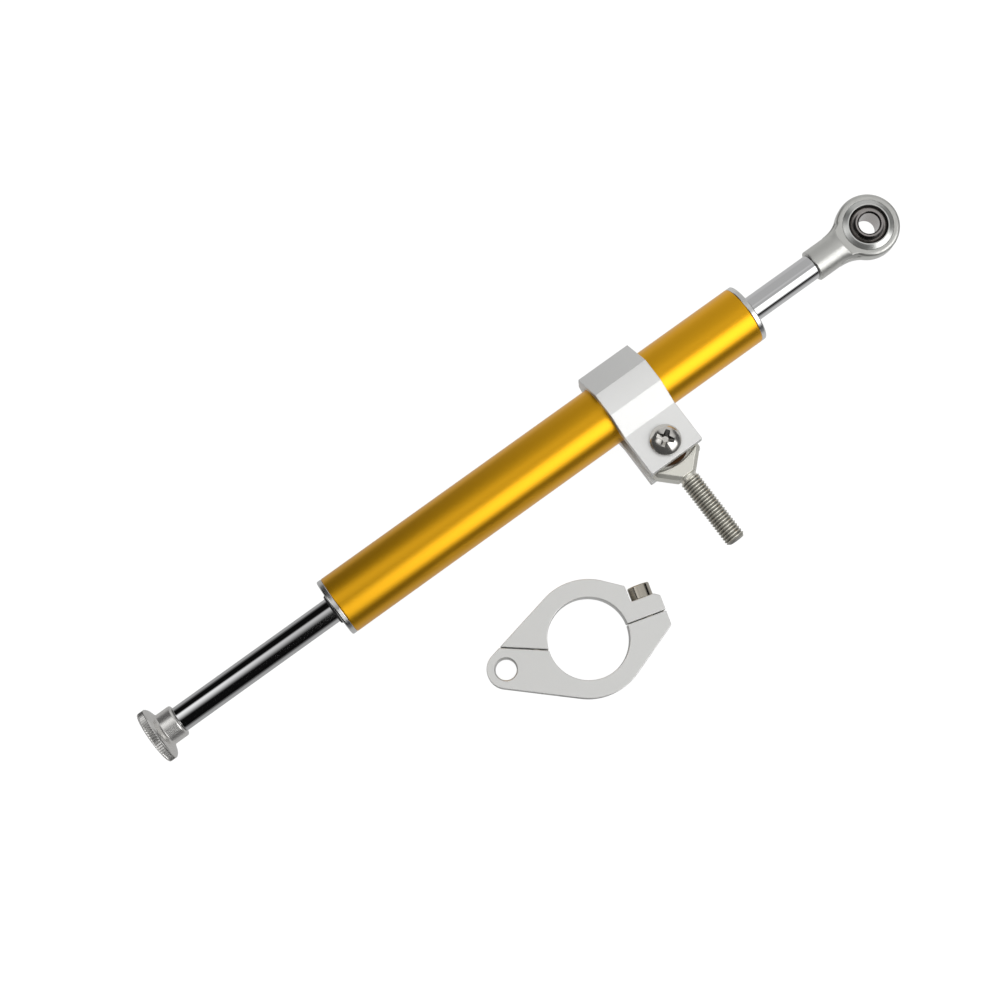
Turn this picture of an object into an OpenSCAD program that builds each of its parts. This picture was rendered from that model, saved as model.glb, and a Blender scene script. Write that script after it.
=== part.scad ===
// Linear steering damper for a motorcycle, with its body clamp and its fork clamp.
// Frame: the origin is the centre of the rod end's ball. +X runs along the damper
// from the adjuster knob to the rod end, +Z is up along the bores of the rod end and of
// the fork clamp, and the mounting stud points to -Y, a little up.
// Lengths are in millimetres.

/* [Barrel] */
// Outside diameter of the anodised tube
tube_od = 23.7; // [21.5:0.1:27]
// Wall of the tube
tube_wall = 2.35; // [1.6:0.05:2.6]
// Length of the tube between the rims of its end caps
tube_len = 187.5; // [176:0.5:260]

/* [End caps] */
// Length of a cap's rim outside the tube
cap_rim_len = 2.1; // [2:0.1:5]
// Chamfer on a cap's rim
cap_chamfer = 0.5; // [0.2:0.1:1]
// Length of a cap's spigot inside the tube
cap_spigot_len = 18; // [16:0.5:24]
// Length of the wiper in its pocket
wiper_len = 3.4; // [2.6:0.1:4.4]
// How far the wiper's lip stands out of the cap
wiper_lip = 1; // [0.6:0.1:1.6]
// Length of the rod seal
seal_len = 3.6; // [2.8:0.1:4.6]
// Radial section of the wiper and of the rod seal
seal_section = 2.4; // [1.8:0.1:2.8]
// Wall between the pockets in a cap
gland_wall = 1.8; // [1.2:0.1:2.4]
// Wall of the bush that guides the rod
bush_wall = 1; // [0.7:0.1:1.5]
// Section diameter of the O-ring between cap and tube
cap_ring_d = 1.78; // [1.5:0.02:2]

/* [Rod] */
// Diameter of the chromed rod
rod_d = 10; // [9:0.1:11]
// Rod that shows between the left cap and the knob
rod_out_knob = 70.2; // [50:0.2:80]
// Rod that shows between the right cap and the rod end
rod_out_eye = 30.5; // [20:0.5:40]
// Bore of the rod, for the adjuster spindle
rod_bore_d = 5; // [4.4:0.1:5.6]
// Oil ports through the rod
port_d = 3; // [2:0.1:3.6]
// Thread diameter of the rod's end in the rod end
rod_thread_d = 8; // [6:0.5:9]
// Length of that thread
rod_thread_len = 12; // [8:0.5:13]

/* [Piston] */
// Length of the piston
piston_len = 16; // [12:0.5:22]
// Radial gap between piston and tube
piston_gap = 0.3; // [0.2:0.05:0.5]
// Width of the piston ring
piston_ring_w = 3.2; // [2:0.1:5]
// Radial depth of the piston ring
piston_ring_depth = 1.6; // [1:0.1:2.2]
// Thickness of the circlips that hold the piston
circlip_t = 1; // [0.8:0.1:1.5]
// Radial width of the circlips
circlip_w = 1.7; // [1.3:0.1:2]
// Depth of the circlip grooves
circlip_groove = 0.45; // [0.3:0.05:0.7]

/* [Adjuster] */
// Diameter of the knob's knurled rim
knob_d = 21.4; // [18:0.1:26]
// Length of the knob's rim, from its face to the collar
knob_rim_len = 5.3; // [5:0.1:8]
// Diameter of the knob's collar
collar_d = 13; // [12.5:0.1:15]
// Length of the knob's collar
collar_len = 6.3; // [6:0.1:12]
// Rounding of the knob's edges
knob_round = 1; // [0.4:0.1:1.4]
// Diameter of the rod's spigot inside the knob
spigot_d = 8; // [7.4:0.1:8.6]
// Wall at the closed end of the knob
knob_wall = 3.9; // [3.4:0.1:4.6]
// Diameter of the grub screw in the collar
grub_d = 3; // [2.5:0.1:3.4]
// Section diameter of the spindle's O-ring
spindle_ring_d = 0.9; // [0.7:0.05:1]

/* [Rod end] */
// Centre of the ball to the face of the neck
neck_len = 26; // [24:0.5:36]
// Diameter of the neck
neck_d = 12.6; // [12:0.1:14.5]
// Diameter of the head
head_d = 24.6; // [23.6:0.1:28]
// Thickness of the head's flat
head_t = 7.2; // [6.4:0.1:8]
// Rounding of the head's edge
head_round = 1.5; // [0.6:0.1:2]
// Radius of the step where the neck meets the head's flat
step_r = 13; // [12.6:0.1:14]
// Fillet between neck and head
neck_fillet = 14; // [6:0.5:18]
// Outside diameter of the race
race_d = 19.4; // [18.6:0.1:20.4]
// How far the race stands out of the flat
race_out = 1; // [0.6:0.1:1.4]
// Diameter of the ball
ball_d = 15.9; // [15:0.1:16.4]
// Width of the ball across its faces
ball_w = 12; // [11.4:0.1:13]
// Bore of the ball
ball_bore_d = 8; // [6:0.1:8.8]

/* [Body clamp] */
// Left end of the tube to the middle of the clamp
clamp_pos = 133.2; // [30:0.2:150]
// Turn of the clamp about the tube, in degrees
clamp_turn = -5; // [-12:0.5:12]
// Length of the clamp along the tube
clamp_len = 23; // [18:0.1:30]
// Width of the block across its flats
block_w = 31.8; // [31:0.1:38]
// Width of the front, back and bottom flats
flat_w = 9.6; // [7:0.1:13]
// Tube's axis to the end of the ears
ear_reach = 30.6; // [29:0.1:31.2]
// Thickness of an ear
ear_t = 4; // [3:0.1:4.6]
// Gap between the ears
ear_gap = 12; // [11.2:0.1:12.6]
// Tube's axis to where the ears leave the block
ear_root = 13.5; // [12.5:0.1:15]
// Tube's axis to the pivot screw
pivot_out = 23.2; // [22.8:0.1:24.6]
// Diameter of the pivot screw
screw_d = 6; // [5:0.5:6.5]
// Diameter of the screw's domed head
screw_head_d = 11.8; // [11:0.1:13]
// Height of the screw's head
screw_head_h = 4.4; // [3.6:0.1:5]
// Nut across its flats
nut_af = 10; // [9.5:0.1:12]
// Height of the nut
nut_h = 5; // [3:0.1:5.4]

/* [Eye bolt] */
// Thickness of the eye bolt's head
eye_t = 9.6; // [9:0.1:10.4]
// Radius of the head round the pivot
eye_r = 10.6; // [10:0.1:10.9]
// Half width of the head at its shoulders
eye_half_w = 10; // [9.4:0.1:10.5]
// Pivot to the shoulders
shoulder_out = 8.3; // [7.6:0.1:9]
// Pivot to the end of the taper
taper_out = 14.2; // [13:0.1:15]
// Chamfer on the head's edges
eye_chamfer = 1.4; // [0.6:0.1:1.8]
// Pivot to the first thread
thread_from = 15.7; // [15.1:0.1:20]
// Diameter of the stud's thread
stud_d = 8; // [6:0.5:8]
// Length of the stud's thread
stud_len = 28.6; // [20:0.1:45]
// Depth of the undercut before the thread
stud_undercut = 0.6; // [0.3:0.1:0.8]
// Radius of the cutter that thins the head between the ears
thin_r = 20; // [16:0.5:26]
// Pivot to the edge of the thinned part
thin_out = 9.1; // [8.8:0.1:10]
// Depth of the thinning on each face
thin_depth = 0.8; // [0.5:0.1:1.2]
// Radius of a pivot bush's flange
flange_r = 8.7; // [7:0.1:8.75]
// Wall of a pivot bush
pivot_wall = 2; // [1:0.1:2.4]

/* [Fork clamp] */
// Diameter of the fork tube that it grips
fork_d = 31; // [28:0.5:33]
// Radial width of the ring
ring_w = 6.9; // [6:0.1:8]
// Thickness of the fork clamp
fork_t = 10; // [9.4:0.1:10.4]
// Ring's centre to the tail hole
tail_out = 33; // [31.4:0.1:42]
// Radius round the tail hole
tail_r = 7.3; // [6.4:0.1:9]
// Tail hole
tail_hole_d = 8; // [6:0.1:8.6]
// Chamfer on the tail hole's edges
tail_chamfer = 0.5; // [0.2:0.1:0.8]
// Ring's centre to the end of the ear
lug_out = 30.9; // [30:0.1:33]
// Half height of the ear's end
lug_half = 6; // [6:0.1:7]
// Gap at the splits
split_gap = 0.4; // [0.4:0.1:1.4]
// Rise of the left split towards the flank, in degrees
split_rise = 23.3; // [18:0.1:28]
// Height of the left split where it leaves the ring
split_root = 1.2; // [0.5:0.1:2]
// Height of the seat under the right bolt's head
seat_h = 7.4; // [6:0.05:7.4]
// Ring's centre to the right bolt
lug_bolt_out = 24.6; // [24.2:0.1:25.4]
// Ring's centre to the left bolt
tail_bolt_out = 19.6; // [19.4:0.1:20.4]
// Diameter of the two bolts
fork_bolt_d = 5; // [4:0.5:5]
// Diameter of their heads
fork_head_d = 8.5; // [7:0.1:8.8]
// Height of their heads
fork_head_h = 5.2; // [4:0.1:5.4]
// Where the ring's centre lies along the damper
fork_x = -177.8; // [-200:0.2:-170]
// Where the ring's centre lies beside the damper
fork_y = -64.2; // [-90:0.2:-63]
// Turn of the fork clamp, in degrees
fork_turn = -15.5; // [-20:0.5:-10]

/* [Fits] */
// Radial clearance of what runs or slides
run_fit = 0.05; // [0.03:0.01:0.08]
// Radial clearance of what is pressed or screwed in
seat_fit = 0.02; // [0.01:0.01:0.03]
// Radial clearance of a plain hole round a screw or the rod
free_fit = 0.25; // [0.15:0.05:0.4]

/* [Hidden] */
$fn = 96;
over = 1;
hex_fn = 6;

// Radii that several pieces share
tube_r = tube_od / 2;
bore_r = tube_r - tube_wall;
rod_r = rod_d / 2;
slide_r = rod_r + run_fit;
pocket_r = rod_r + seal_section;
pass_r = rod_r + free_fit;
bush_r = slide_r + bush_wall;
pivot_r = screw_d / 2 + free_fit;
sleeve_r = pivot_r + pivot_wall;

// Places along the damper, from the ball to the knob
neck_x = -neck_len;
right_face_x = neck_x - rod_out_eye;
tube_right_x = right_face_x - cap_rim_len;
tube_left_x = tube_right_x - tube_len;
left_face_x = tube_left_x - cap_rim_len;
collar_x = left_face_x - rod_out_knob;
knob_face_x = collar_x - collar_len - knob_rim_len;
clamp_x = tube_left_x + clamp_pos;

// Steps inside a cap, measured inwards from its outer face
cap_len = cap_rim_len + cap_spigot_len;
seal_from = wiper_len + gland_wall;
seal_to = seal_from + seal_len;
bush_from = seal_to + gland_wall;
bush_len = cap_len - bush_from;
cap_groove_r = bore_r - cap_ring_d - 2 * seat_fit;
cap_groove_w = 1.35 * cap_ring_d;
cap_groove_at = bush_from + bush_len / 2;

// The piston sits where its travel is centred in the tube
piston_x = (tube_left_x + tube_right_x) / 2 - (rod_out_knob - rod_out_eye) / 2;
piston_r = bore_r - piston_gap;
ring_groove_r = bore_r - run_fit - piston_ring_depth - seat_fit;
circlip_r = rod_r - circlip_groove;
circlip_slit = 2.4;
port_off = piston_len / 2 + circlip_t + port_d;

// The knob's cone and its turned corners
knob_cone_len = 2.2;
collar_round = 0.6;

// The rod's left spigot, the spindle in it and the grub screw that holds the knob
shoulder_gap = 0.15;
spigot_x = knob_face_x + knob_wall + shoulder_gap;
spindle_r = rod_bore_d / 2 - run_fit;
spindle_relief = 0.6;
spindle_waist_r = spindle_r - spindle_relief;
spindle_ring_r = spindle_r - spindle_ring_d;
spindle_land = 6;
spindle_end_x = piston_x + port_off + port_d;
spindle_socket = 2.4;
rod_bore_spare = 0.5;
rod_bore_end_x = spindle_end_x + rod_bore_spare;
grub_x = collar_x - collar_len / 2;
grub_sunk = 0.4;
grub_tip_r = grub_d / 3;
grub_groove_depth = 0.7;
grub_groove_r = spigot_d / 2 - grub_groove_depth;
grub_groove_w = 2 * grub_tip_r + 2 * shoulder_gap;
grub_socket_d = 0.58 * grub_d;

// The rod end's ball and race
ball_r = ball_d / 2;
race_r = race_d / 2;
race_top = head_t / 2 + race_out;
race_mouth_inset = 0.2;
race_mouth_depth = 1.2;
race_edge_w = 0.15;
race_open_r = ball_r - race_mouth_inset;
race_lip = race_top - race_mouth_depth;
race_edge_r = race_open_r + race_edge_w;
race_inner_r = race_open_r - over;
head_r = head_d / 2;
neck_r = neck_d / 2;
ball_chamfer = 0.6;

// The body clamp and what its screw holds
ear_out = ear_gap / 2 + ear_t;
floor_z = -(block_w * cos(clamp_turn) + flat_w * abs(sin(clamp_turn))) / 2;
eye_thin_z = eye_t / 2 - thin_depth;
dome_h = 0.68 * screw_head_h;
dome_r = (pow(screw_head_d / 2, 2) + pow(dome_h, 2)) / (2 * dome_h);
recess_l = 0.56 * screw_head_d;
recess_w = 0.15 * screw_head_d;
recess_depth = 0.62 * screw_head_h;
recess_turn = 36;
stud_tip_chamfer = 0.8;

// The fork clamp's outline: its straight flanks sink a little into the round ends that they join
fork_r = fork_d / 2;
ring_r = fork_r + ring_w;
flank_sink = 0.05;
flank_ring_r = ring_r - flank_sink;
flank_tail_r = tail_r - flank_sink;
flank_tilt = asin((ring_r - tail_r) / tail_out);
lug_tilt = acos(flank_ring_r / norm([lug_out, lug_half])) + atan2(lug_half, lug_out);
fork_mid_z = floor_z + fork_t / 2;
step_margin = 0.8;
step_from = lug_bolt_out - fork_head_d / 2 - step_margin;
tail_seat = 8;
tail_bolt_len = 16;
lug_bolt_len = 14;
socket_depth = 0.5 * fork_head_h;
socket_d = 0.55 * fork_head_d;

// A body of revolution about X from a profile of [radius, x] points
module turned(points) {
    rotate([0, 90, 0]) rotate_extrude() polygon(points);
}

// A plain ring about X
module sleeve(from, len, inner_r, outer_r) {
    turned([[inner_r, from], [outer_r, from], [outer_r, from + len], [inner_r, from + len]]);
}

// A plain shaft along X
module shaft(from, len, r) {
    translate([from, 0, 0]) rotate([0, 90, 0]) cylinder(r = r, h = len);
}

// A round ring about X with a round section
module o_ring(at, centre_r, section_d) {
    translate([at, 0, 0]) rotate([0, 90, 0])
        rotate_extrude() translate([centre_r, 0]) circle(d = section_d);
}

// Places a piece that is drawn inwards from a cap's outer face
module at_left_cap() translate([left_face_x, 0, 0]) children();
module at_right_cap() translate([right_face_x, 0, 0]) mirror([1, 0, 0]) children();

// Places the body clamp and what its pivot screw carries
module at_clamp() rotate([clamp_turn, 0, 0]) translate([clamp_x, 0, 0]) children();
module at_pivot() at_clamp() translate([0, -pivot_out, 0]) children();

// Places the fork clamp's pieces, drawn with the tail at -X and the plate's middle at Z = 0
module at_fork() translate([fork_x, fork_y, fork_mid_z]) rotate([0, 0, fork_turn]) children();

// Cuts a chamfer c along the edge from p to q at height h
module edge_cut(p, q, h, c) {
    run = norm(q - p);
    translate([p.x, p.y, h]) rotate([0, 0, atan2(q.y - p.y, q.x - p.x)]) rotate([45, 0, 0])
        translate([run / 2, 0, 0]) cube([run + 2 * c, c * sqrt(2), c * sqrt(2)], center = true);
}

// Barrel
module barrel_tube() color("goldenrod") {
    sleeve(tube_left_x, tube_len, bore_r, tube_r);
}

module end_cap() {
    spigot_r = bore_r - seat_fit;
    groove_from = cap_groove_at - cap_groove_w / 2;
    turned([
        [pocket_r, 0], [tube_r - cap_chamfer, 0], [tube_r, cap_chamfer], [tube_r, cap_rim_len],
        [spigot_r, cap_rim_len], [spigot_r, groove_from], [cap_groove_r, groove_from],
        [cap_groove_r, groove_from + cap_groove_w], [spigot_r, groove_from + cap_groove_w],
        [spigot_r, cap_len], [bush_r, cap_len], [bush_r, bush_from], [pass_r, bush_from],
        [pass_r, seal_to], [pocket_r, seal_to], [pocket_r, seal_from], [pass_r, seal_from],
        [pass_r, wiper_len], [pocket_r, wiper_len]
    ]);
}

module rod_bush() {
    sleeve(bush_from, bush_len, slide_r, bush_r - seat_fit);
}

module rod_seal() {
    lip = seal_section / 3;
    outer_r = pocket_r - seat_fit;
    turned([
        [slide_r, seal_from + seat_fit], [outer_r, seal_from + seat_fit], [outer_r, seal_to - seat_fit],
        [outer_r - lip, seal_to - seat_fit], [(slide_r + outer_r) / 2, seal_to - lip * 2],
        [slide_r + lip, seal_to - seat_fit], [slide_r, seal_to - seat_fit]
    ]);
}

module wiper() {
    outer_r = pocket_r - seat_fit;
    lip_r = slide_r + 0.3 * seal_section;
    root_r = slide_r + 0.6 * seal_section;
    turned([
        [slide_r, -wiper_lip], [lip_r, -wiper_lip], [root_r, 0], [outer_r, 0],
        [outer_r, wiper_len - seat_fit], [slide_r, wiper_len - seat_fit]
    ]);
}

module cap_o_ring() {
    o_ring(cap_groove_at, (cap_groove_r + bore_r) / 2, cap_ring_d);
}

module left_end_cap() color("silver") at_left_cap() end_cap();
module right_end_cap() color("silver") at_right_cap() end_cap();
module left_rod_bush() color("peru") at_left_cap() rod_bush();
module right_rod_bush() color("peru") at_right_cap() rod_bush();
module left_rod_seal() color("darkslategray") at_left_cap() rod_seal();
module right_rod_seal() color("darkslategray") at_right_cap() rod_seal();
module left_wiper() color("dimgray") at_left_cap() wiper();
module right_wiper() color("dimgray") at_right_cap() wiper();
module left_cap_o_ring() color("black") at_left_cap() cap_o_ring();
module right_cap_o_ring() color("black") at_right_cap() cap_o_ring();

// Rod and piston
module piston_rod() color("gainsboro") {
    difference() {
        union() {
            shaft(collar_x + shoulder_gap, neck_x - collar_x - shoulder_gap, rod_r);
            shaft(spigot_x, collar_x - spigot_x + over, spigot_d / 2);
            shaft(neck_x - over, rod_thread_len + over, rod_thread_d / 2);
        }
        shaft(spigot_x - over, rod_bore_end_x - spigot_x + over, rod_bore_d / 2);
        sleeve(grub_x - grub_groove_w / 2, grub_groove_w, grub_groove_r, spigot_d);
        for (side = [-1, 1]) {
            translate([piston_x + side * port_off, 0, 0])
                cylinder(d = port_d, h = rod_d + over, center = true);
            at_circlip(side) sleeve(-seat_fit, circlip_t + 2 * seat_fit, circlip_r, rod_d);
        }
    }
}

// Places a circlip against one end of the piston
module at_circlip(side) {
    near_x = piston_x + side * (piston_len / 2 + seat_fit);
    translate([side > 0 ? near_x : near_x - circlip_t, 0, 0]) children();
}

module piston() color("lightsteelblue") {
    groove_w = piston_ring_w + 2 * seat_fit;
    difference() {
        sleeve(piston_x - piston_len / 2, piston_len, rod_r + seat_fit, piston_r);
        sleeve(piston_x - groove_w / 2, groove_w, ring_groove_r, bore_r);
    }
}

module piston_ring() color("saddlebrown") {
    sleeve(piston_x - piston_ring_w / 2, piston_ring_w, ring_groove_r + seat_fit, bore_r - run_fit);
}

module piston_circlips() color("slategray") {
    for (side = [-1, 1]) at_circlip(side) difference() {
        sleeve(0, circlip_t, circlip_r + seat_fit, circlip_r + circlip_w);
        translate([-over, -circlip_slit / 2, 0]) cube([circlip_t + 2 * over, circlip_slit, rod_d]);
    }
}

// Rod end
module rod_end_housing() color("silver") {
    fillet_y = neck_r + neck_fillet;
    fillet_x = -sqrt(pow(head_r + neck_fillet, 2) - pow(fillet_y, 2));
    web_end_y = fillet_y * head_r / (head_r + neck_fillet);
    rim_z = head_t / 2 - head_round;
    difference() {
        union() {
            shaft(neck_x, neck_len, neck_r);
            rotate_extrude() {
                square([head_r - head_round, head_t / 2]);
                mirror([0, 1]) square([head_r - head_round, head_t / 2]);
                translate([0, -rim_z]) square([head_r, 2 * rim_z]);
                for (side = [-1, 1]) translate([head_r - head_round, side * rim_z]) circle(r = head_round);
            }
            linear_extrude(2 * rim_z, center = true) difference() {
                translate([fillet_x, -web_end_y]) square([-fillet_x, 2 * web_end_y]);
                for (side = [-1, 1]) translate([fillet_x, side * fillet_y]) circle(r = neck_fillet);
            }
        }
        for (side = [0, 1]) mirror([0, 0, side])
            translate([0, 0, head_t / 2]) cylinder(r = step_r, h = neck_d);
        cylinder(r = race_r, h = neck_d, center = true);
        shaft(neck_x - over, rod_thread_len + over + shoulder_gap, rod_thread_d / 2 + seat_fit);
    }
}

module rod_end_race() color("lightgray") {
    difference() {
        rotate_extrude() polygon([
            [race_r - seat_fit, -head_t / 2], [race_r - seat_fit, head_t / 2], [race_edge_r, race_top],
            [race_open_r, race_top], [race_open_r, race_lip], [race_inner_r, race_lip],
            [race_inner_r, -race_lip], [race_open_r, -race_lip], [race_open_r, -race_top],
            [race_edge_r, -race_top]
        ]);
        sphere(r = ball_r + run_fit);
    }
}

module rod_end_ball() color("dimgray") {
    edge_r = ball_bore_d / 2 + ball_chamfer;
    difference() {
        intersection() {
            sphere(r = ball_r);
            cylinder(r = ball_d, h = ball_w, center = true);
        }
        cylinder(d = ball_bore_d, h = ball_w + over, center = true);
        for (side = [0, 1]) mirror([0, 0, side]) translate([0, 0, ball_w / 2 - ball_chamfer])
            cylinder(r1 = ball_bore_d / 2, r2 = edge_r + ball_chamfer, h = 2 * ball_chamfer);
    }
}

// Adjuster
module adjuster_knob() color("silver") {
    rim_r = knob_d / 2;
    collar_r = collar_d / 2;
    collar_from = knob_face_x + knob_rim_len;
    band_end_x = collar_from - knob_cone_len;
    difference() {
        turned([
            [0, knob_face_x], [rim_r - knob_round, knob_face_x], [rim_r, knob_face_x + knob_round],
            [rim_r, band_end_x], [rim_r - collar_round, band_end_x + collar_round],
            [collar_r + collar_round, collar_from], [collar_r, collar_from + collar_round],
            [collar_r, collar_x - collar_round], [collar_r - collar_round, collar_x], [0, collar_x]
        ]);
        shaft(knob_face_x + knob_wall, knob_rim_len + collar_len, spigot_d / 2 + run_fit);
        shaft(knob_face_x + knob_wall - spindle_socket, knob_wall, spindle_r + seat_fit);
        translate([grub_x, 0, -collar_d]) cylinder(d = grub_d + 2 * seat_fit, h = collar_d);
    }
}

module adjuster_spindle() color("lightgray") {
    head_x = knob_face_x + knob_wall - spindle_socket + seat_fit;
    ring_x = spigot_x + spindle_land / 2;
    ring_groove = 1.4 * spindle_ring_d;
    valve_x = piston_x - port_off - port_d;
    difference() {
        union() {
            shaft(head_x, spigot_x + spindle_land - head_x, spindle_r);
            shaft(head_x, spindle_end_x - head_x, spindle_waist_r);
            shaft(valve_x, spindle_end_x - valve_x, spindle_r);
        }
        sleeve(ring_x - ring_groove / 2, ring_groove, spindle_ring_r, rod_d);
        translate([piston_x - port_off, -rod_r, spindle_r / 4]) cube([2 * port_off, rod_d, rod_r]);
    }
}

module spindle_o_ring() color("black") {
    o_ring(spigot_x + spindle_land / 2, (spindle_ring_r + rod_bore_d / 2) / 2, spindle_ring_d);
}

module knob_grub_screw() color("dimgray") {
    top_r = collar_d / 2 - grub_sunk;
    thread_r = spigot_d / 2 + run_fit + shoulder_gap;
    tip_r = grub_groove_r + shoulder_gap;
    translate([grub_x, 0, 0]) mirror([0, 0, 1]) difference() {
        union() {
            translate([0, 0, thread_r]) cylinder(d = grub_d, h = top_r - thread_r);
            translate([0, 0, tip_r]) cylinder(r = grub_tip_r, h = thread_r - tip_r + shoulder_gap);
        }
        translate([0, 0, top_r - grub_socket_d]) cylinder(d = grub_socket_d, h = grub_d, $fn = hex_fn);
    }
}

// Body clamp, with the screw that closes it and carries the eye bolt
module body_clamp() color("silver") {
    half = block_w / 2;
    flat = flat_w / 2;
    at_clamp() difference() {
        rotate([90, 0, 90]) linear_extrude(clamp_len, center = true) difference() {
            polygon([
                [-flat, half], [flat, half], [half, flat], [half, -flat], [flat, -half], [-flat, -half],
                [-ear_root, -ear_out], [-ear_reach, -ear_out], [-ear_reach, ear_out], [-ear_root, ear_out]
            ]);
            circle(r = tube_r + run_fit);
            translate([-ear_reach - over, -ear_gap / 2]) square([ear_reach + over, ear_gap]);
        }
        translate([0, -pivot_out, 0]) cylinder(r = pivot_r, h = block_w, center = true);
    }
}

module clamp_screw() color("gainsboro") {
    at_pivot() difference() {
        union() {
            translate([0, 0, -ear_out - nut_h]) cylinder(d = screw_d, h = 2 * ear_out + nut_h + over);
            intersection() {
                translate([0, 0, ear_out]) cylinder(d = screw_head_d, h = screw_head_h);
                translate([0, 0, ear_out + screw_head_h - dome_r]) sphere(r = dome_r);
            }
        }
        for (arm = [0, 90]) translate([0, 0, ear_out + screw_head_h]) rotate([0, 0, recess_turn + arm])
            cube([recess_l, recess_w, 2 * recess_depth], center = true);
    }
}

module clamp_nut() color("lightgray") {
    at_pivot() translate([0, 0, -ear_out - nut_h]) difference() {
        cylinder(d = nut_af / cos(180 / hex_fn), h = nut_h, $fn = hex_fn);
        translate([0, 0, -over]) cylinder(d = screw_d + 2 * seat_fit, h = nut_h + 2 * over);
    }
}

// A flanged bush, from the middle of the eye to the inside of one ear
module pivot_bush() {
    flange_z = eye_thin_z + run_fit;
    difference() {
        union() {
            translate([0, 0, seat_fit]) cylinder(r = sleeve_r, h = ear_gap / 2 - seat_fit);
            translate([0, 0, flange_z]) cylinder(r = flange_r, h = ear_gap / 2 - flange_z);
        }
        cylinder(r = pivot_r, h = ear_gap);
    }
}

module upper_pivot_bush() color("saddlebrown") at_pivot() pivot_bush();
module lower_pivot_bush() color("saddlebrown") at_pivot() mirror([0, 0, 1]) pivot_bush();

module eye_bolt() color("lightgray") {
    neck_half = stud_d / 2;
    plain_len = stud_len - stud_tip_chamfer;
    right_side = [[eye_r, 0], [eye_half_w, -shoulder_out], [neck_half, -taper_out]];
    left_side = [[-neck_half, -taper_out], [-eye_half_w, -shoulder_out], [-eye_r, 0]];
    at_pivot() difference() {
        union() {
            linear_extrude(eye_t, center = true) {
                circle(r = eye_r);
                polygon(concat(right_side, left_side));
            }
            translate([0, over - taper_out, 0]) rotate([90, 0, 0])
                cylinder(d = stud_d - 2 * stud_undercut, h = thread_from - taper_out + 2 * over);
            translate([0, -thread_from, 0]) rotate([90, 0, 0]) cylinder(d = stud_d, h = plain_len);
            translate([0, -thread_from - plain_len, 0]) rotate([90, 0, 0])
                cylinder(d1 = stud_d, d2 = stud_d - 2 * stud_tip_chamfer, h = stud_tip_chamfer);
        }
        for (h = [-eye_t / 2, eye_t / 2], i = [0, 1]) {
            edge_cut(right_side[i], right_side[i + 1], h, eye_chamfer);
            edge_cut(left_side[i], left_side[i + 1], h, eye_chamfer);
        }
        for (side = [0, 1]) mirror([0, 0, side])
            translate([0, thin_r - thin_out, eye_thin_z]) cylinder(r = thin_r, h = eye_t);
        cylinder(r = sleeve_r + run_fit, h = 2 * eye_t, center = true);
    }
}

// Fork clamp: one pear-shaped ring, split in two jaws
module fork_plate() {
    flank = [-sin(flank_tilt), cos(flank_tilt)];
    lug = [cos(lug_tilt), sin(lug_tilt)];
    tail_top = [-tail_out, 0] + flank_tail_r * flank;
    upper = [tail_top, flank_ring_r * flank, flank_ring_r * lug, [lug_out, lug_half]];
    lower = [for (i = [3:-1:0]) [upper[i].x, -upper[i].y]];
    difference() {
        union() {
            cylinder(r = ring_r, h = fork_t, center = true);
            translate([-tail_out, 0, 0]) cylinder(r = tail_r, h = fork_t, center = true);
            linear_extrude(fork_t, center = true) polygon(concat(upper, lower));
        }
        cylinder(r = fork_r, h = 2 * fork_t, center = true);
        translate([-tail_out, 0, 0]) cylinder(d = tail_hole_d, h = 2 * fork_t, center = true);
        for (side = [0, 1]) mirror([0, 0, side]) translate([-tail_out, 0, fork_t / 2 - tail_chamfer])
            cylinder(d1 = tail_hole_d, d2 = tail_hole_d + 4 * tail_chamfer, h = 2 * tail_chamfer);
        translate([step_from, seat_h, -fork_t]) cube([lug_out, ring_r, 2 * fork_t]);
    }
}

// Everything above the splits, grown by the given amount
module above_split(grow) {
    far = 2 * tail_out;
    drop = grow / cos(split_rise);
    linear_extrude(2 * fork_t, center = true) polygon([
        [far, -grow], [0, -grow], [-fork_r, split_root - drop],
        [-fork_r - far, split_root + far * tan(split_rise) - drop], [far, 2 * far]
    ]);
}

module lug_bolt_hole(r, from, len) {
    translate([lug_bolt_out, from, 0]) rotate([-90, 0, 0]) cylinder(r = r, h = len);
}

module tail_bolt_hole(r, from, len) {
    translate([-tail_bolt_out, from, 0]) rotate([-90, 0, 0]) cylinder(r = r, h = len);
}

module fork_upper_jaw() color("silver") {
    at_fork() difference() {
        intersection() {
            fork_plate();
            above_split(-split_gap / 2);
        }
        lug_bolt_hole(fork_bolt_d / 2 + free_fit, -over, seat_h + 2 * over);
        tail_bolt_hole(fork_bolt_d / 2 + seat_fit, -tail_seat, tail_bolt_len + over);
    }
}

module fork_lower_jaw() color("silver") {
    at_fork() difference() {
        fork_plate();
        above_split(split_gap / 2);
        lug_bolt_hole(fork_bolt_d / 2 + seat_fit, seat_h - lug_bolt_len - over, lug_bolt_len + over);
        tail_bolt_hole(fork_bolt_d / 2 + free_fit, -tail_seat - over, ring_r);
        tail_bolt_hole(fork_head_d / 2 + free_fit, -tail_seat - ring_r, ring_r);
    }
}

// A cap-head bolt along +Y with the underside of its head at the origin
module fork_bolt(len) {
    rotate([-90, 0, 0]) difference() {
        union() {
            cylinder(d = fork_bolt_d, h = len);
            translate([0, 0, -fork_head_h]) cylinder(d = fork_head_d, h = fork_head_h);
        }
        translate([0, 0, -fork_head_h - over])
            cylinder(d = socket_d, h = socket_depth + over, $fn = hex_fn);
    }
}

module fork_clamp_bolts() color("gainsboro") {
    at_fork() {
        translate([lug_bolt_out, seat_h, 0]) mirror([0, 1, 0]) fork_bolt(lug_bolt_len);
        translate([-tail_bolt_out, -tail_seat, 0]) fork_bolt(tail_bolt_len);
    }
}

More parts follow.
